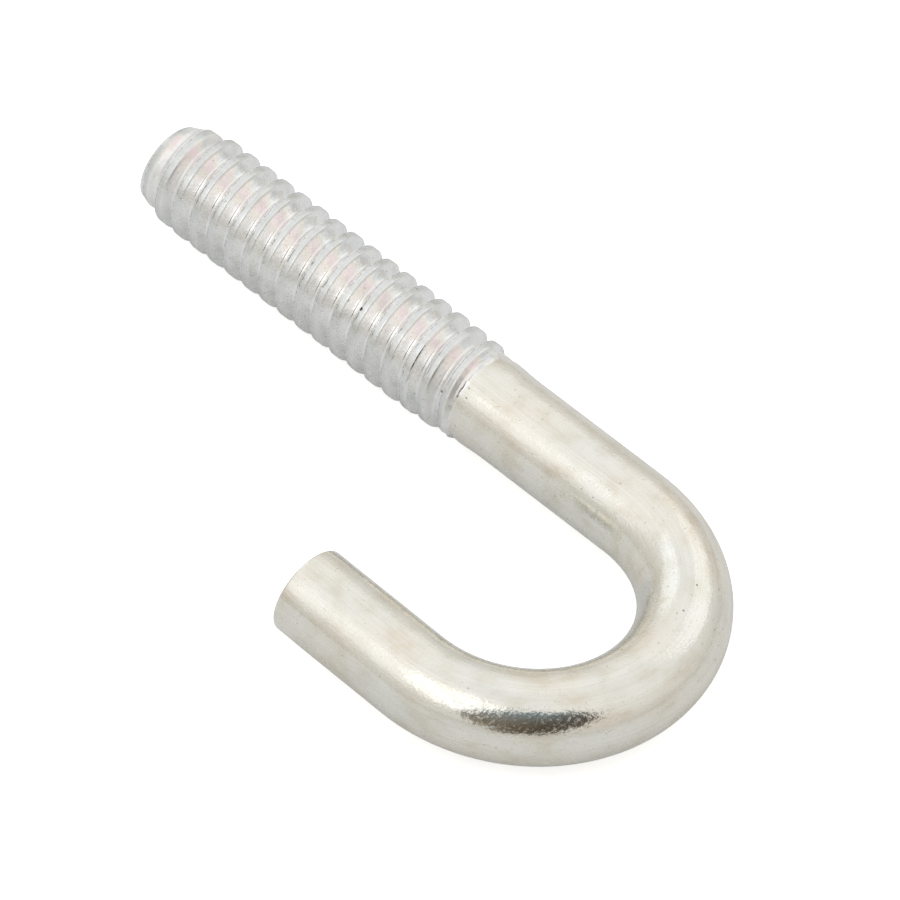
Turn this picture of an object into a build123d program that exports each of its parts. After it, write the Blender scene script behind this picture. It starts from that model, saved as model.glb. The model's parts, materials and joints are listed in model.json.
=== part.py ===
from build123d import *
import math
import os

# A small steel J-bolt: one round rod with a thread rolled on its straight end and a hook bent in the
# other. Millimetres. The thread's axis is the X axis and starts at the threaded end. The J lies flat in
# the XY plane: the shank runs towards +X and the hook turns back on the -Y side. +Z is the J's face.

# Rod. A rolled thread starts from a rod of the thread's pitch diameter, and swells above it.
ROD_D = 4.14

# Thread: number 10, 24 turns to the inch, right-hand. The rolling dies press sharp grooves into the rod,
# and the metal that they push up stops short of filling them, so the crests are wide and flat.
MAJOR_D = 4.82
PITCH = 25.4 / 24
CREST_FLAT = 0.31
FLANK_ANGLE = 30.0
THREAD_END = 20.0
FIRST_RISE_ANGLE = 280.0
RISE_TURNS = 0.75
FADE_TURNS = 2.0

# Threaded end: a bevel leads a nut on
TIP_D = 3.7
TIP_BEVEL = 0.3

# Hook
STRAIGHT = 27.77
INSIDE_RADIUS = 4.82
BEND_ANGLE = 181.0
HOOK_LEG = 6.3
LEG_END_BEVEL = 0.12

rod_r = ROD_D / 2
crest_r = MAJOR_D / 2
flank = (PITCH - CREST_FLAT) / 2
thread_depth = flank / math.tan(math.radians(FLANK_ANGLE))
root_r = crest_r - thread_depth
tip_r = TIP_D / 2
bend_r = INSIDE_RADIUS + rod_r

# The thread's surface is made half a turn at a time. Its last groove fades out at THREAD_END, and half
# turns are counted back from there to the bevel.
half_pitch = PITCH / 2
half_turns = math.floor((THREAD_END - TIP_BEVEL) / half_pitch) - 2
first_turn = THREAD_END - (half_turns + 2) * half_pitch
shank_start = THREAD_END + half_pitch

# One ridge is bounded by three helical lines, and by the next turn's foot. Each line has an offset along
# the axis, a radius once formed, and the number of turns that it starts late. The foot is a turn late,
# because the tip side of the first turn is the plain rod.
FOOT = (0.0, root_r, 1)
CREST_START = (flank, crest_r, 0)
CREST_END = (flank + CREST_FLAT, crest_r, 0)


def radius_at(line, step):
    """A line's radius where a half turn starts. It leaves the rod's own radius and comes back to it."""
    formed_r, late = line[1:]
    risen = (step / 2 - late) / RISE_TURNS
    left = (half_turns - step) / 2 / FADE_TURNS
    share = max(0.0, min(1.0, risen, left))
    return rod_r + (formed_r - rod_r) * share


def half_turn(line, step):
    """Half a turn of one line, as a helix that widens or narrows where the ridge rises or fades."""
    start_r = radius_at(line, step)
    taper = math.atan2(radius_at(line, step + 1) - start_r, half_pitch)
    lead = PITCH / math.cos(taper)
    start_x = first_turn + step * half_pitch + line[0]
    helix = Edge.make_helix(lead, half_pitch, start_r, (start_x, 0, 0), (1, 0, 0), math.degrees(taper))
    return helix.rotate(Axis.X, 180 * step)


def half_circle(x, radius, step):
    plane = Plane(origin=(x, 0, 0), x_dir=(0, 0, 1), z_dir=(1, 0, 0))
    return Edge.make_circle(radius, plane, 0, 180).rotate(Axis.X, 180 * step)


def strips(edges):
    """The ruled faces between each edge and the next."""
    return [Face.make_surface_from_curves(near, far) for near, far in zip(edges, edges[1:])]


def disc(x, radius):
    return Face(Wire([half_circle(x, radius, 0), half_circle(x, radius, 1)]))


def threaded_end():
    """The rod up to shank_start: end face, bevel, ridge after ridge, and a short plain stretch."""
    faces = [disc(0, tip_r), disc(shank_start, rod_r)]
    for step in (0, 1):
        bevel = [half_circle(0, tip_r, step), half_circle(TIP_BEVEL, rod_r, step)]
        faces += strips(bevel + [half_turn(FOOT, step)])
    for step in range(half_turns):
        ridge = [half_turn(line, step) for line in (FOOT, CREST_START, CREST_END)]
        faces += strips(ridge + [half_turn(FOOT, step + 2)])
    for step in (half_turns, half_turns + 1):
        faces += strips([half_turn(FOOT, step), half_circle(shank_start, rod_r, step)])
    return Solid(Shell(faces)).rotate(Axis.X, FIRST_RISE_ANGLE)


def plain_rod():
    """The rest of the rod: plain shank, bend and the hook's leg, with the leg's sheared edge broken."""
    shank = Line((shank_start, 0), (STRAIGHT, 0))
    bend = JernArc(shank @ 1, shank % 1, bend_r, -BEND_ANGLE)
    leg = Line(bend @ 1, bend @ 1 + bend % 1 * HOOK_LEG)
    rod = sweep(Plane.YZ.offset(shank_start) * Circle(rod_r), path=Wire([shank, bend, leg]))
    end_edge = rod.edges().filter_by(GeomType.CIRCLE).sort_by_distance(leg @ 1)[0]
    return chamfer(end_edge, LEG_END_BEVEL)


bolt = threaded_end() + plain_rod()

os.makedirs("parts", exist_ok=True)
export_step(bolt, "parts/j_bolt.step")
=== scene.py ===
import json
import math
import bmesh
import bpy
from mathutils import Matrix, Vector, noise


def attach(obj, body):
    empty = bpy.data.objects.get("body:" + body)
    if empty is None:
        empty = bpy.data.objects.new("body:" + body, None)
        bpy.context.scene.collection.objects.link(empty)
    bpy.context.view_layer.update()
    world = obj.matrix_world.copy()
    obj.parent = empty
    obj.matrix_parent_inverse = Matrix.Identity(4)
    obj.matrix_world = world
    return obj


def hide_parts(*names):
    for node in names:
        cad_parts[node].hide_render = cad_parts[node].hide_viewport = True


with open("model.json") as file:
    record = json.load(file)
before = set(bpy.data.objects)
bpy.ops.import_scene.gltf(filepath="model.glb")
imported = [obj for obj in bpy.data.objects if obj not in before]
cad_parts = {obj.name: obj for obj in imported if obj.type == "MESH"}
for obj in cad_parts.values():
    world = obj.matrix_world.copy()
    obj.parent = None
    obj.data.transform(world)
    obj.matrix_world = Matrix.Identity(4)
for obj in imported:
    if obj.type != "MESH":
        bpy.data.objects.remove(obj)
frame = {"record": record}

bpy.context.view_layer.update()


# ---- The rod: j_bolt ------------------------------------------------------------------------------
# One length of round steel rod. A thread is rolled on one end, which pushes metal out of its grooves
# and up into its crests. The rod is then sheared to length, bent round a pin to a hook, and plated.

MM = 0.001

# The rod's line, as the frame gives it: straight, then round the bend, then the leg
mounts = {mount["name"]: mount for mount in frame["record"]["mounts"]}
leg_mount = mounts["hook_leg"]
ROD_R = leg_mount["dims"]["r_mm"] / 1000
CREST_R = mounts["thread"]["dims"]["r_mm"] / 1000
BEND_CENTRE = Vector(mounts["hook"]["pos_m"])
BEND_R = -BEND_CENTRE.y
STRAIGHT = BEND_CENTRE.x
END_EDGE = 0.12 * MM          # the blade leaves the edge of both ends slightly rounded
leg_axis = Vector(leg_mount["axis"])
BEND_ANGLE = 2 * math.pi - math.acos(leg_axis.x)
BEND_LENGTH = BEND_R * BEND_ANGLE
leg_start = BEND_CENTRE + Matrix.Rotation(-BEND_ANGLE, 3, "Z") @ Vector((0, BEND_R, 0))
leg_end = Vector(leg_mount["pos_m"]) + leg_axis * (leg_mount["dims"]["length_mm"] * MM + END_EDGE) / 2
LEG_LENGTH = (leg_end - leg_start).length
ROD_LENGTH = STRAIGHT + BEND_LENGTH + LEG_LENGTH

# The formed thread. Its places along the rod are told from the middle of a crest.
PITCH = 25.4 * MM / 24        # 24 turns to the inch
CREST_FLAT = 0.31 * MM
FLANK_ANGLE = math.radians(30)
FLANK_SLOPE = 1 / math.tan(FLANK_ANGLE)
ROOT_R = CREST_R - (PITCH - CREST_FLAT) / 2 * FLANK_SLOPE     # where the flanks would meet
ROOT_ROUND = 0.13 * MM        # radius at the bottom of the groove, from the worn edge of the die
ROOT_HALF = ROOT_ROUND * math.cos(FLANK_ANGLE)
TIP_SIDE_CORNER = 0.015 * MM  # how far each flank's corner with the crest is rounded over
HOOK_SIDE_CORNER = 0.008 * MM
SEAM_PLACE = -0.115 * MM      # rolling folds the metal over in a ragged seam along the crest
SEAM_WIDTH = 0.016 * MM
SEAM_DEPTH = 0.017 * MM
SEAM_WANDER = 0.022 * MM
TEAR_LENGTH = 0.3 * MM        # how long the tears in the seam and in the burr are
UNEVEN = 0.004 * MM           # how much the rolled surface rises and falls
UNEVEN_LENGTH = 0.45 * MM
FIRST_CREST = 0.924 * MM     # place of the first crest on the line along the rod that faces +Y

# How the thread starts at the sheared end and runs out into the shank
TIP_R, TIP_CONE = 1.86 * MM, 0.55 * MM      # the tip is a short cone, a little off the rod's centre
TIP_OFF_CENTRE, TIP_OFF_ANGLE = 0.08 * MM, math.radians(216)
RISE_START, RISE_END = 0.62 * MM, 1.7 * MM  # crests rise and grooves sink out of the plain rod
SETTLE_START, SETTLE_END = 15.5 * MM, 18.5 * MM
SETTLED = 0.67                # the share of their height that the last crests settle to
CREST_FADE, CREST_GONE = 18.1 * MM, 18.8 * MM
GROOVE_FADE, GROOVE_GONE = 17.0 * MM, 18.6 * MM

# The burr is metal pushed ahead of the dies, and the rod swells a little beyond it.
BURR_START, BURR_PLACE, BURR_WIDTH = 18.2 * MM, 18.74 * MM, 0.08 * MM
BURR_HEIGHT, BURR_WANDER, BURR_LUMPS = 0.07 * MM, 0.06 * MM, 0.22 * MM
BURR_EVEN, BURR_RAGGED = 0.8, 0.6      # shares of its height that are the same all round and that vary
SWELL_START, SWELL_PEAK, SWELL_END = 18.7 * MM, 19.3 * MM, 20.5 * MM
SWELL_HEIGHT = 0.09 * MM
SWELL_LOW_ANGLE, SWELL_LEAST = math.radians(128), 0.25      # where it is lowest, and its share there

# The sheared ends. The blade cuts the upper part clean and tears the lower part in.
SHEAR_DIP = 0.06 * MM
CLEAN_SHARE = 0.15            # how far the clean part dips, as a share of the torn part's dip
CLEAN_ABOVE, TORN_BELOW = 0.5 * MM, -0.6 * MM
DIP_WITHIN, RIM_WITHIN = 0.72, 0.88    # shares of the radius between which the dip fades out
TORN_LUMPS = (1, 0.9, 0.35)   # their length along X, Y and Z in mm

# Steps of the mesh: round a turn, along the shank, the bend and the leg, and over a sheared end
TURN_STEPS, SHANK_STEPS, BEND_STEPS, LEG_STEPS = 96, 16, 120, 12
EDGE_ANGLES = (22, 45, 68, 90)
FACE_RINGS = (0.9, 0.82, 0.74, 0.66, 0.57, 0.48, 0.39, 0.3, 0.2, 0.1)


def eased(value, start, end):
    """0 up to the start, 1 from the end, and a smooth step between them."""
    share = min(max((value - start) / (end - start), 0), 1)
    return share * share * (3 - 2 * share)


def soft_min(a, b, width):
    """The smaller of two values, with the corner between them rounded over a width."""
    gap = max(width - abs(a - b), 0) / width
    return min(a, b) - gap * gap * width / 4


def ridge_radius(offset):
    """The formed thread's radius at a distance along the rod from the middle of its crest."""
    corner = TIP_SIDE_CORNER if offset < 0 else HOOK_SIDE_CORNER
    slope = CREST_R - (abs(offset) - CREST_FLAT / 2) * FLANK_SLOPE
    beside_root = PITCH / 2 - abs(offset)
    if beside_root < ROOT_HALF:
        centre = ROOT_R + ROOT_ROUND / math.sin(FLANK_ANGLE)
        return centre - math.sqrt(ROOT_ROUND ** 2 - beside_root ** 2)
    return soft_min(CREST_R, slope, corner * 2)


def roughness_at(x, angle, size):
    """An even noise between about -1 and 1 over the rod's surface, with lumps of one size."""
    place = Vector((x, math.cos(angle) * ROD_R, math.sin(angle) * ROD_R)) / size
    return 2 * noise.noise(place)


def rise(x):
    """How much of the form the dies have made at a place near the tip, where it begins."""
    return min(max((x - RISE_START) / (RISE_END - RISE_START), 0), 1)


def crest_share(x):
    """How far a crest has risen above the plain rod."""
    settled = min(max((x - SETTLE_START) / (SETTLE_END - SETTLE_START), 0), 1)
    return rise(x) * (1 - (1 - SETTLED) * settled) * (1 - eased(x, CREST_FADE, CREST_GONE))


def groove_share(x):
    """How far a groove has sunk below the plain rod."""
    return rise(x) * (1 - eased(x, GROOVE_FADE, GROOVE_GONE))


def thread_radius(x, angle):
    """The radius of the rod's surface on its threaded length."""
    turns = (x - FIRST_CREST) / PITCH - angle / (2 * math.pi)
    offset = (turns - round(turns)) * PITCH
    from_root = (turns - math.floor(turns) - 0.5) * PITCH
    formed = ridge_radius(offset) - ROD_R
    radius = ROD_R - (ROD_R - TIP_R) * (1 - min(x / TIP_CONE, 1))
    if formed > 0:
        radius += max(soft_min(formed, (CREST_R - ROD_R) * crest_share(x - offset), 2 * HOOK_SIDE_CORNER), 0)
    else:
        depth = (ROD_R - ROOT_R) * groove_share(x - from_root)
        radius -= max(soft_min(-formed, depth, 2 * TIP_SIDE_CORNER), 0)
    edge = BURR_PLACE + BURR_WANDER * roughness_at(0, angle, BURR_LUMPS)
    pushed = eased(x, BURR_START, GROOVE_GONE) * (1 - eased(x, edge, edge + BURR_WIDTH))
    ragged = roughness_at(x, angle, TEAR_LENGTH)
    radius += BURR_HEIGHT * pushed * (BURR_EVEN + BURR_RAGGED * ragged)
    on_form = rise(x) * (1 - eased(x, GROOVE_GONE, CREST_GONE))
    radius += UNEVEN * on_form * roughness_at(x, angle, UNEVEN_LENGTH)
    seam = math.exp(-((offset - SEAM_PLACE) / SEAM_WIDTH) ** 2)
    radius -= SEAM_DEPTH * seam * on_form * (1 + ragged)
    swell = eased(x, SWELL_START, SWELL_PEAK) * (1 - eased(x, SWELL_PEAK, SWELL_END))
    around = SWELL_LEAST + (1 - SWELL_LEAST) * (1 - math.cos(angle - SWELL_LOW_ANGLE)) / 2
    return radius + SWELL_HEIGHT * swell * around


def seam_shift(point):
    """How far the seam wanders along the rod at a point on it."""
    angle = math.atan2(point.z, point.y)
    turns = (point.x - FIRST_CREST) / PITCH - angle / (2 * math.pi)
    from_seam = (turns - round(turns)) * PITCH - SEAM_PLACE
    if not RISE_END < point.x < GROOVE_GONE or abs(from_seam) > 2.5 * SEAM_WIDTH:
        return 0
    return SEAM_WANDER * roughness_at(point.x - from_seam, angle, TEAR_LENGTH)


def end_shift(point):
    """How far a point of a sheared end moves inwards along the rod."""
    from_end = min(point.x, ROD_LENGTH - point.x)
    if from_end > END_EDGE / 100:
        return 0
    inside = 1 - eased(math.hypot(point.y, point.z) / ROD_R, DIP_WITHIN, RIM_WITHIN)
    torn = 1 - eased(point.z, TORN_BELOW, CLEAN_ABOVE)
    lumps = 0.5 + noise.noise(Vector([c / size for c, size in zip(point, TORN_LUMPS)]) / MM)
    dip = SHEAR_DIP * inside * (CLEAN_SHARE + (1 - CLEAN_SHARE) * torn) * max(lumps, 0)
    return dip if point.x < ROD_LENGTH / 2 else -dip


def pitch_line():
    """Places for the vertices across one turn, root to root, closer together where the form turns."""
    stretches = ((-PITCH / 2 + ROOT_HALF, 4), (-CREST_FLAT / 2 - TIP_SIDE_CORNER, 3),
                 (-CREST_FLAT / 2 + TIP_SIDE_CORNER, 4), (SEAM_PLACE + SEAM_WIDTH * 2, 4),
                 (CREST_FLAT / 2 - HOOK_SIDE_CORNER, 3), (CREST_FLAT / 2 + HOOK_SIDE_CORNER, 3),
                 (PITCH / 2 - ROOT_HALF, 3), (PITCH / 2, 4))
    places = [-PITCH / 2]
    for end, steps in stretches:
        begin = places[-1]
        places += [begin + (end - begin) * i / steps for i in range(1, steps + 1)]
    return places


def cut_square(bm, x, side):
    """Cuts off what lies past a place along the rod, on one side of it, and returns the cut's rim."""
    cut = bmesh.ops.bisect_plane(bm, geom=bm.verts[:] + bm.edges[:] + bm.faces[:], dist=PITCH / 1000,
                                 plane_co=(x, 0, 0), plane_no=(side, 0, 0), clear_outer=True)
    return [e for e in cut["geom_cut"] if isinstance(e, bmesh.types.BMEdge)]


def plain_length(start, length, steps):
    """The places and radii that divide a plain length of the rod into even steps."""
    return [(start + length * i / steps, ROD_R) for i in range(1, steps + 1)]


def sheared_end(end, inwards, radius):
    """The places and radii round the edge of a sheared end and across its face."""
    edge = [(end + inwards * END_EDGE * (1 - math.sin(math.radians(a))),
             radius - END_EDGE * (1 - math.cos(math.radians(a)))) for a in EDGE_ANGLES]
    return edge + [(end, radius * share) for share in FACE_RINGS]


def draw_out(bm, rim, stations):
    """Extrudes a round rim through a row of places and radii along the rod, and returns the last rim."""
    for x, radius in stations:
        grown = bmesh.ops.extrude_edge_only(bm, edges=rim)["geom"]
        rim = [e for e in grown if isinstance(e, bmesh.types.BMEdge) and len(e.link_faces) == 1]
        for v in {v for e in rim for v in e.verts}:
            v.co.x = x
            size = math.hypot(v.co.y, v.co.z)
            v.co.y *= radius / size
            v.co.z *= radius / size
    return rim


def straight_rod():
    """The rod before it is bent: a helical strip for the thread, cut square, then drawn out along X."""
    bm = bmesh.new()
    start = FIRST_CREST - 2 * PITCH
    line = [bm.verts.new((start + place, ROD_R, 0)) for place in pitch_line()]
    line += [bm.edges.new(pair) for pair in zip(line, line[1:])]
    bmesh.ops.spin(bm, geom=line, cent=(0, 0, 0), axis=(1, 0, 0), dvec=(PITCH / TURN_STEPS, 0, 0),
                   angle=2 * math.pi, steps=TURN_STEPS)
    one_turn = bm.verts[:] + bm.edges[:] + bm.faces[:]
    for turn in range(1, math.ceil((SWELL_END - start) / PITCH) + 2):
        copy = bmesh.ops.duplicate(bm, geom=one_turn)["geom"]
        bmesh.ops.translate(bm, verts=[v for v in copy if isinstance(v, bmesh.types.BMVert)],
                            vec=(turn * PITCH, 0, 0))
    bmesh.ops.remove_doubles(bm, verts=bm.verts[:], dist=PITCH / 1000)
    tip_rim = cut_square(bm, END_EDGE, -1)
    shank_rim = cut_square(bm, SWELL_END, 1)
    for v in bm.verts:
        angle = math.atan2(v.co.z, v.co.y)
        radius = thread_radius(v.co.x, angle)
        v.co.y = radius * math.cos(angle)
        v.co.z = radius * math.sin(angle)
    shank = plain_length(SWELL_END, STRAIGHT - SWELL_END, SHANK_STEPS)
    hook = plain_length(STRAIGHT, BEND_LENGTH, BEND_STEPS)
    leg = plain_length(STRAIGHT + BEND_LENGTH, LEG_LENGTH - END_EDGE, LEG_STEPS)
    leg_face = draw_out(bm, shank_rim, shank + hook + leg + sheared_end(ROD_LENGTH, -1, ROD_R))
    bmesh.ops.contextual_create(bm, geom=leg_face)
    tip_face = draw_out(bm, tip_rim, sheared_end(0, 1, thread_radius(END_EDGE, 0)))
    bmesh.ops.contextual_create(bm, geom=tip_face)
    bmesh.ops.recalc_face_normals(bm, faces=bm.faces[:])
    for v in bm.verts:
        shift = TIP_OFF_CENTRE * max(1 - v.co.x / (2 * TIP_CONE), 0)
        v.co.y += shift * math.cos(TIP_OFF_ANGLE)
        v.co.z += shift * math.sin(TIP_OFF_ANGLE)
    return bm


def bend(point):
    """Where a point of the straight rod goes when the rod is bent round the pin."""
    angle = min(max((point.x - STRAIGHT) / BEND_R, 0), BEND_ANGLE)
    beyond = point.x - STRAIGHT - angle * BEND_R
    arm = Vector((beyond, BEND_R + point.y, point.z))
    return BEND_CENTRE + Matrix.Rotation(-angle, 3, "Z") @ arm


# Each point keeps its place on the straight rod, which the finish follows, and is then bent.
bm = straight_rod()
along_rod = bm.verts.layers.float_vector.new("along_rod")
for v in bm.verts:
    v[along_rod] = v.co
    v.co = bend(v.co + Vector((seam_shift(v.co) + end_shift(v.co), 0, 0)))
for face in bm.faces:
    face.smooth = True
mesh = bpy.data.meshes.new("bent_rod")
bm.to_mesh(mesh)
bm.free()
bolt = bpy.data.objects.new("bent_rod", mesh)
bpy.context.scene.collection.objects.link(bolt)


def linear(hex_colour):
    """A linear RGBA colour from an sRGB hex value."""
    values = [int(hex_colour[i:i + 2], 16) / 255 for i in (0, 2, 4)]
    return [c / 12.92 if c <= 0.04045 else ((c + 0.055) / 1.055) ** 2.4 for c in values] + [1.0]


def add_node(tree, kind, inputs, out=0, stops=(), **settings):
    """Adds a node. Its inputs, by name or number, are values or sockets to link. Returns one output."""
    node = tree.nodes.new("ShaderNode" + kind)
    for name, value in settings.items():
        setattr(node, name, value)
    for name, value in inputs.items():
        if isinstance(value, bpy.types.NodeSocket):
            tree.links.new(value, node.inputs[name])
        else:
            node.inputs[name].default_value = value
    for i, (position, colour) in enumerate(stops):
        element = node.color_ramp.elements[i] if i < 2 else node.color_ramp.elements.new(position)
        element.position = position
        element.color = linear(colour)
    return node.outputs[out]


# Bright zinc plate over drawn wire. The plate is pale and faintly warm, clouded where the bath ran off,
# with fine grain, stray specks and pits, and faint lines along the rod from the drawing die. Its thin
# clear passivate tints the crests faintly, and on the upper side of the rolled thread weak rainbow tints are
# painted on: a painted sheen where the light falls.
zinc = bpy.data.materials.new("bright zinc plate")
zinc.use_nodes = True
tree = zinc.node_tree
shader = tree.nodes["Principled BSDF"]
shader.inputs["Metallic"].default_value = 1.0
place = add_node(tree, "Attribute", {}, out="Vector", attribute_name="along_rod")
axes = add_node(tree, "SeparateXYZ", {"Vector": place}, out="X").node
x, y, z = axes.outputs
angle = add_node(tree, "Math", {0: z, 1: y}, operation="ARCTAN2")
# The phase across a turn goes from 0 at a root through 0.5 on the crest to 1 at the next root.
turns = add_node(tree, "Math", {0: x, 1: 1 / PITCH, 2: 0.5 - FIRST_CREST / PITCH}, operation="MULTIPLY_ADD")
turns = add_node(tree, "Math", {0: angle, 1: -0.5 / math.pi, 2: turns}, operation="MULTIPLY_ADD")
phase = add_node(tree, "Math", {0: turns}, operation="FRACT")

# Where the finish changes: on the thread or the shank, on the sheared ends, and on the thread's sides
THREAD_LOOK_TO, SHANK_LOOK_FROM = 18.7 * MM, 19.0 * MM
on_thread = add_node(tree, "MapRange", {"Value": x, "From Min": SHANK_LOOK_FROM, "From Max": THREAD_LOOK_TO},
                     interpolation_type="SMOOTHSTEP")
from_middle = add_node(tree, "Math", {0: x, 1: ROD_LENGTH / 2}, operation="SUBTRACT")
from_middle = add_node(tree, "Math", {0: from_middle}, operation="ABSOLUTE")
on_end = add_node(tree, "MapRange", {"Value": from_middle, "From Min": ROD_LENGTH / 2 - 0.05 * MM,
                                     "From Max": ROD_LENGTH / 2 - 0.01 * MM})
on_sides = add_node(tree, "Math", {0: on_thread, 1: on_end}, operation="SUBTRACT", use_clamp=True)

# Each pattern's lengths along and across the rod in millimetres, and how many finer layers it has
patterns = {}
for name, long_mm, across_mm, detail in (("drawn_lines", 6, 0.09, 2), ("clouds", 1.2, 0.9, 4),
                                         ("waves", 0.9, 0.6, 1), ("grain", 0.13, 0.11, 2),
                                         ("specks", 0.22, 0.17, 1), ("drift", 4, 2.5, 1),
                                         ("film_sheen_drift", 1.5, 0.9, 2)):
    scale = (1 / (long_mm * MM), 1 / (across_mm * MM), 1 / (across_mm * MM))
    scaled = add_node(tree, "VectorMath", {0: place, 1: scale}, operation="MULTIPLY")
    patterns[name] = add_node(tree, "TexNoise", {"Vector": scaled, "Scale": 1.0, "Detail": detail})

# Pits in the plate: place along the rod in mm, angle round it, radius in mm, and how dark it is
PITS = ((12.8, 129, 0.13, 1.0), (13.8, 66, 0.08, 0.5), (18.1, 148, 0.09, 0.8), (17.85, 88, 0.09, 0.6),
        (19.2, 138, 0.06, 0.5), (9.7, 150, 0.06, 0.4), (10.7, 135, 0.06, 0.4), (34.04, 82, 0.06, 0.7),
        (35.6, 90, 0.07, 0.6), (35.84, 96, 0.06, 0.4), (37.82, 93, 0.05, 0.4), (32.36, 51, 0.07, 0.4),
        (25.04, 171, 0.06, 0.4), (26.72, 141, 0.05, 0.4), (22.58, 102, 0.06, 0.3))
pits = 0.0
for x_mm, degrees, radius_mm, darkness in PITS:
    at = math.radians(degrees)
    out_to = thread_radius(x_mm * MM, at)
    centre = (x_mm * MM, out_to * math.cos(at), out_to * math.sin(at))
    away = add_node(tree, "VectorMath", {0: place, 1: centre}, out="Value", operation="DISTANCE")
    reach = add_node(tree, "Math", {0: patterns["grain"], 1: 0.8 * radius_mm * MM, 2: 0.6 * radius_mm * MM},
                     operation="MULTIPLY_ADD")
    depth = add_node(tree, "MapRange", {"Value": away, "From Min": 0.2 * radius_mm * MM, "From Max": reach,
                                        "To Min": darkness, "To Max": 0.0}, interpolation_type="SMOOTHSTEP")
    pits = add_node(tree, "Math", {0: pits, 1: depth}, operation="MAXIMUM")

# The seam along the crest is darker, in patches broken up along it.
seam_phase = 0.5 + SEAM_PLACE / PITCH
seam_reach = 1.5 * SEAM_WIDTH / PITCH
from_seam = add_node(tree, "Math", {0: phase, 1: seam_phase, 2: seam_reach}, operation="COMPARE")
seam_darkening = add_node(tree, "MapRange", {"Value": patterns["specks"], "From Min": 0.42, "From Max": 0.6,
                                         "To Min": 0.0, "To Max": 0.32})
seam_darkening = add_node(tree, "Math", {0: seam_darkening, 1: from_seam}, operation="MULTIPLY")
seam_darkening = add_node(tree, "Math", {0: seam_darkening, 1: on_sides}, operation="MULTIPLY")

# The plate's colour, then the drawn lines, specks, pits and darker seam that darken it
hue = add_node(tree, "ValToRGB", {"Fac": patterns["drift"]},
               stops=[(0.35, "F7F2E8"), (0.5, "F5F2E9"), (0.65, "F3F2EB")])
shade = add_node(tree, "ValToRGB", {"Fac": patterns["clouds"]},
                 stops=[(0.30, "F2EFE8"), (0.5, "FCFCFB"), (0.66, "FFFFFF")])
shank_plate = add_node(tree, "Mix", {"Factor": 1.0, 6: hue, 7: shade}, out=2, data_type="RGBA",
                       blend_type="MULTIPLY")
thread_plate = add_node(tree, "ValToRGB", {"Fac": patterns["clouds"]},
                        stops=[(0.32, "F1F1EF"), (0.5, "FAFAF9"), (0.66, "FDFDFB")])
colour = add_node(tree, "Mix", {"Factor": on_thread, 6: shank_plate, 7: thread_plate}, out=2,
                  data_type="RGBA")
lines = add_node(tree, "ValToRGB", {"Fac": patterns["drawn_lines"]},
                 stops=[(0.3, "F9F8F6"), (0.55, "FFFFFF")])
speck = add_node(tree, "ValToRGB", {"Fac": patterns["specks"]}, stops=[(0.71, "FFFFFF"), (0.84, "C4BFB2")])
pit = add_node(tree, "ValToRGB", {"Fac": pits}, stops=[(0.0, "FFFFFF"), (1.0, "3E3E3C")])
seam_darkening_colour = add_node(tree, "ValToRGB", {"Fac": seam_darkening}, stops=[(0.0, "FFFFFF"), (1.0, "6E6A5C")])
for layer in (lines, speck, pit, seam_darkening_colour):
    colour = add_node(tree, "Mix", {"Factor": 1.0, 6: colour, 7: layer}, out=2, data_type="RGBA",
                      blend_type="MULTIPLY")

# The clear film is faintly blue on the crests. On the sides of the grooves a painted sheen of rainbow tints
# changes round the rod, on the side where the light falls.
crest_film = add_node(tree, "ValToRGB", {"Fac": phase},
                      stops=[(0.28, "FFFFFF"), (0.38, "F2F3F3"), (0.5, "E8EBEC"), (0.62, "F0F1EE"),
                             (0.70, "FFFFFF")])
# The painted sheen lies between these angles round the rod, on the upper side where the lit band falls, and
# its edges wander.
FILM_SHEEN_START, FILM_SHEEN_END = math.radians(70), math.radians(150)
FILM_SHEEN_WANDER = 0.36            # as a share of that
film_sheen_shift = add_node(tree, "Math", {0: patterns["film_sheen_drift"], 1: FILM_SHEEN_WANDER, 2: -FILM_SHEEN_WANDER / 2},
                      operation="MULTIPLY_ADD")
film_sheen_place = add_node(tree, "MapRange", {"Value": angle, "From Min": FILM_SHEEN_START, "From Max": FILM_SHEEN_END})
film_sheen_place = add_node(tree, "Math", {0: film_sheen_place, 1: film_sheen_shift}, operation="ADD")
painted_film_sheen = add_node(tree, "ValToRGB", {"Fac": film_sheen_place},
                     stops=[(0.02, "FFFFFF"), (0.13, "EDF2F7"), (0.26, "FFFBF5"), (0.42, "FFEEF1"),
                            (0.58, "FFF8F1"), (0.72, "FFFBFA"), (0.86, "F9F8F8"), (1.0, "FFFFFF")])
film_sheen_share = add_node(tree, "ValToRGB", {"Fac": phase},
                      stops=[(0.0, "505050"), (0.1, "000000"), (0.60, "000000"), (0.76, "FFFFFF"),
                             (0.9, "FFFFFF"), (1.0, "505050")])
# The crests get the film's own faint tint; the groove sides get the painted sheen.
for film_and_sheen, share in ((crest_film, on_sides), (painted_film_sheen, film_sheen_share)):
    share = add_node(tree, "Math", {0: share, 1: on_sides}, operation="MULTIPLY")
    colour = add_node(tree, "Mix", {"Factor": share, 6: colour, 7: film_and_sheen}, out=2, data_type="RGBA",
                      blend_type="MULTIPLY")
tree.links.new(colour, shader.inputs["Base Color"])

# The fine grain makes the shine uneven, and the pits are dull.
dullness = add_node(tree, "MapRange", {"Value": patterns["grain"], "From Min": 0.48, "From Max": 0.76,
                                       "To Min": 0.12, "To Max": 0.36}, interpolation_type="SMOOTHSTEP")
dullness = add_node(tree, "Math", {0: patterns["clouds"], 1: 0.04, 2: dullness}, operation="MULTIPLY_ADD")
dullness = add_node(tree, "Math", {0: pits, 1: 0.4, 2: dullness}, operation="MULTIPLY_ADD")
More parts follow.
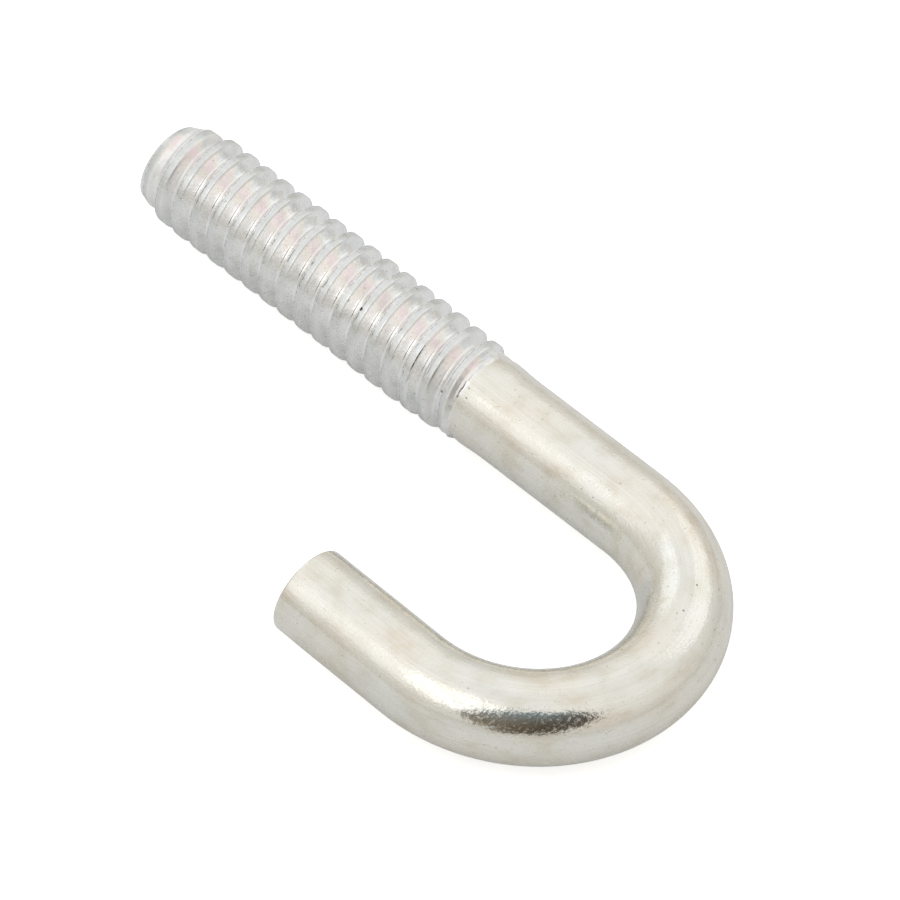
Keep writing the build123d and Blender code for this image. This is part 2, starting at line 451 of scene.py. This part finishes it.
# Where the dies only begin to form the thread, and where they leave it, the metal is torn and dull:
# the middle of each such place and its reach in mm, and how much it adds to the roughness.
TORN_PLACES = ((1.3, 1.3, 0.3), (17.4, 1.0, 0.22), (18.56, 0.28, 0.3))
for place_mm, reach_mm, amount in TORN_PLACES:
    beside = add_node(tree, "Math", {0: x, 1: place_mm * MM}, operation="SUBTRACT")
    beside = add_node(tree, "Math", {0: beside}, operation="ABSOLUTE")
    torn = add_node(tree, "MapRange", {"Value": beside, "From Min": reach_mm * MM,
                                       "From Max": 0.6 * reach_mm * MM, "To Max": amount},
                    interpolation_type="SMOOTHSTEP")
    dullness = add_node(tree, "Math", {0: dullness, 1: torn}, operation="ADD")

# The torn ends are duller, with marks that run the way the blade went.
MARK_WIDTH, MARK_LENGTH, MARK_HEIGHT = 0.16 * MM, 1.3 * MM, 0.07 * MM
END_DULLNESS = 0.14
blade_scale = (0, 1 / MARK_WIDTH, 1 / MARK_LENGTH)
across_cut = add_node(tree, "VectorMath", {0: place, 1: blade_scale}, operation="MULTIPLY")
shear_marks = add_node(tree, "TexNoise", {"Vector": across_cut, "Scale": 1.0, "Detail": 3})
shear_marks = add_node(tree, "Math", {0: shear_marks, 1: on_end}, operation="MULTIPLY")
dullness = add_node(tree, "Math", {0: on_end, 1: END_DULLNESS, 2: dullness}, operation="MULTIPLY_ADD")
tree.links.new(dullness, shader.inputs["Roughness"])

# The relief: how high each pattern stands, and how deep the pits are
PIT_DEPTH = 0.04 * MM
relief = add_node(tree, "Math", {0: shear_marks, 1: MARK_HEIGHT}, operation="MULTIPLY")
for name, height_mm in (("grain", 0.008), ("waves", 0.014), ("drawn_lines", 0.0006)):
    relief = add_node(tree, "Math", {0: patterns[name], 1: height_mm * MM, 2: relief},
                      operation="MULTIPLY_ADD")
relief = add_node(tree, "Math", {0: pits, 1: -PIT_DEPTH, 2: relief}, operation="MULTIPLY_ADD")
bump = add_node(tree, "Bump", {"Strength": 1.0, "Distance": 1.0, "Height": relief})
tree.links.new(bump, shader.inputs["Normal"])
mesh.materials.append(zinc)

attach(bolt, "root")
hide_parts("j_bolt")


# ---- Studio: floor, light and camera --------------------------------------------------------------
# A sheet of white paper lies under the bolt, in a white tent that is brightest overhead. Softboxes
# stand round it, and the dark of the camera's own side shows in the bolt as one dark reflection.

FLOOR_Z = -CREST_R
PAPER_HALF_WIDTH = 1.5
bm = bmesh.new()
bmesh.ops.create_grid(bm, x_segments=1, y_segments=1, size=PAPER_HALF_WIDTH)
bmesh.ops.translate(bm, verts=bm.verts[:], vec=(0, 0, FLOOR_Z))
floor_mesh = bpy.data.meshes.new("floor")
bm.to_mesh(floor_mesh)
bm.free()
floor = bpy.data.objects.new("floor", floor_mesh)
bpy.context.scene.collection.objects.link(floor)

# Matt white paper, with no gloss of its own: an even ground, which glows for the camera so that it stays
# white, and a little for the metal that mirrors it.
GLOW_SEEN, GLOW_MIRRORED = 0.60, 0.15
paper = bpy.data.materials.new("white paper")
paper.use_nodes = True
tree = paper.node_tree
shader = tree.nodes["Principled BSDF"]
seen = add_node(tree, "LightPath", {}, out="Is Camera Ray")
rays = seen.node
white = add_node(tree, "Mix", {"Factor": seen, 6: linear("D4D5D6"), 7: linear("FFFFFF")}, out=2,
                 data_type="RGBA")
tree.links.new(white, shader.inputs["Base Color"])
shader.inputs["Roughness"].default_value = 1.0
shader.inputs["Specular IOR Level"].default_value = 0.0
shader.inputs["Emission Color"].default_value = linear("FFFFFF")
glow = add_node(tree, "Math", {0: rays.outputs["Is Glossy Ray"], 1: GLOW_MIRRORED}, operation="MULTIPLY")
glow = add_node(tree, "Math", {0: seen, 1: GLOW_SEEN, 2: glow}, operation="MULTIPLY_ADD")
tree.links.new(glow, shader.inputs["Emission Strength"])
floor_mesh.materials.append(paper)

# The walls of the tent, pale grey at the floor and white overhead
WALL_GLOW = 0.88
world = bpy.data.worlds.new("studio")
world.use_nodes = True
bpy.context.scene.world = world
tree = world.node_tree
direction = add_node(tree, "TexCoord", {}, out="Generated")
height = add_node(tree, "SeparateXYZ", {"Vector": direction}, out="Z")
walls = add_node(tree, "ValToRGB", {"Fac": height},
                 stops=[(0.0, "D4D2CD"), (0.09, "DCDAD5"), (0.2, "E4E2DE"), (0.34, "EBE9E6"),
                        (0.53, "F3F2F0"), (0.7, "FAFAFA"), (1.0, "FFFFFF")])
tree.links.new(walls, tree.nodes["Background"].inputs["Color"])
tree.nodes["Background"].inputs["Strength"].default_value = WALL_GLOW


def towards(azimuth, elevation):
    """The direction at an azimuth from -Y towards +X, and an elevation, in degrees."""
    a, e = math.radians(azimuth), math.radians(elevation)
    return Vector((math.sin(a) * math.cos(e), -math.cos(a) * math.cos(e), math.sin(e)))


# The lamps stand at one distance round the middle of the bolt, and face it.
SUBJECT = Vector((0.020, -0.005, 0))
LIGHT_DISTANCE = 0.6
COOL = (0.80, 0.88, 1.0)
NEUTRAL = (1.0, 1.0, 1.0)
# Each lamp's azimuth and elevation, its width and depth in metres, its radiance and its tone
LAMPS = (("softbox", (3, 50), 0.46, 0.46, 0.36, NEUTRAL),
         ("tent_side", (-30, 52), 0.86, 0.62, 0.10, NEUTRAL),
         ("front_strip", (-31, 38), 0.30, 0.50, 0.09, COOL),
         ("left_softbox", (-101, 33), 0.28, 0.42, 0.24, COOL),
         ("left_tent", (-122, 42), 0.56, 0.76, 0.075, NEUTRAL),
         ("rear_softbox", (180, 38), 0.44, 0.32, 0.24, NEUTRAL))
for name, stand, width, depth, radiance, tone in LAMPS:
    light_data = bpy.data.lights.new(name, "AREA")
    light_data.shape = "ELLIPSE"
    light_data.size = width
    light_data.size_y = depth
    light_data.energy = radiance * math.pi * width * depth * math.pi / 4
    light_data.color = tone
    light = bpy.data.objects.new(name, light_data)
    bpy.context.scene.collection.objects.link(light)
    ray = towards(*stand)
    light.matrix_world = (Matrix.Translation(SUBJECT + ray * LIGHT_DISTANCE)
                          @ ray.to_track_quat("Z", "Y").to_matrix().to_4x4())
    light.visible_camera = False

# The dark round the camera: a flag in front of the lamps, cut to the shape of its reflection. Each
# corner is an azimuth and an elevation.
FLAG_CORNERS = ((14, 24), (26, 50), (42, 59), (76, 58), (85, 46), (84, 28), (60, 10), (36, 7))
FLAG_DISTANCE = LIGHT_DISTANCE * 0.9
flag_mesh = bpy.data.meshes.new("camera_side_flag")
bm = bmesh.new()
corners = [bm.verts.new(SUBJECT + towards(*corner) * FLAG_DISTANCE) for corner in FLAG_CORNERS]
bmesh.ops.contextual_create(bm, geom=corners)
bm.to_mesh(flag_mesh)
bm.free()
flag = bpy.data.objects.new("camera_side_flag", flag_mesh)
bpy.context.scene.collection.objects.link(flag)

# Felt, which has no shine. The bolt mirrors its colour, which is brown at its foot, grey above that,
# blue at its top, and darker on its far side.
FELT_FOOT, FELT_TOP = 0.2, 0.5
FELT_NEAR, FELT_FAR = 0.24, 0.40
felt = bpy.data.materials.new("felt")
felt.use_nodes = True
tree = felt.node_tree
shader = tree.nodes["Principled BSDF"]
felt_place = add_node(tree, "TexCoord", {}, out="Object")
felt_axes = add_node(tree, "SeparateXYZ", {"Vector": felt_place}, out="Z").node
up = add_node(tree, "MapRange", {"Value": felt_axes.outputs["Z"], "From Min": FELT_FOOT,
                                 "From Max": FELT_TOP})
felt_colour = add_node(tree, "ValToRGB", {"Fac": up},
                       stops=[(0.0, "9A8E7C"), (0.5, "999C9B"), (1.0, "9CC0D2")])
across = add_node(tree, "MapRange", {"Value": felt_axes.outputs["X"], "From Min": FELT_NEAR,
                                     "From Max": FELT_FAR})
felt_shade = add_node(tree, "ValToRGB", {"Fac": across}, stops=[(0.0, "FFFFFF"), (1.0, "A8A6A2")])
felt_colour = add_node(tree, "Mix", {"Factor": 1.0, 6: felt_colour, 7: felt_shade}, out=2, data_type="RGBA",
                       blend_type="MULTIPLY")
tree.links.new(felt_colour, shader.inputs["Base Color"])
shader.inputs["Roughness"].default_value = 1.0
shader.inputs["Specular IOR Level"].default_value = 0.0
flag_mesh.materials.append(felt)
flag.visible_camera = False

# The camera looks down at the middle of the bolt, with a little roll.
AZIMUTH, ELEVATION, ROLL = 36.598, 47.770, 8.643
DISTANCE = 0.41535
AIM = Vector((0.020016, -0.003255, 0))
LENS = 385.13
camera_data = bpy.data.cameras.new("camera")
camera_data.lens = LENS
camera_data.clip_start = 0.01
camera = bpy.data.objects.new("camera", camera_data)
bpy.context.scene.collection.objects.link(camera)
back = towards(AZIMUTH, ELEVATION)
turn = Matrix.Rotation(math.radians(ROLL), 3, back) @ back.to_track_quat("Z", "Y").to_matrix()
camera.matrix_world = Matrix.Translation(AIM + back * DISTANCE) @ turn.to_4x4()
bpy.context.scene.camera = camera
bpy.context.scene.view_settings.view_transform = "Standard"

bpy.context.view_layer.update()
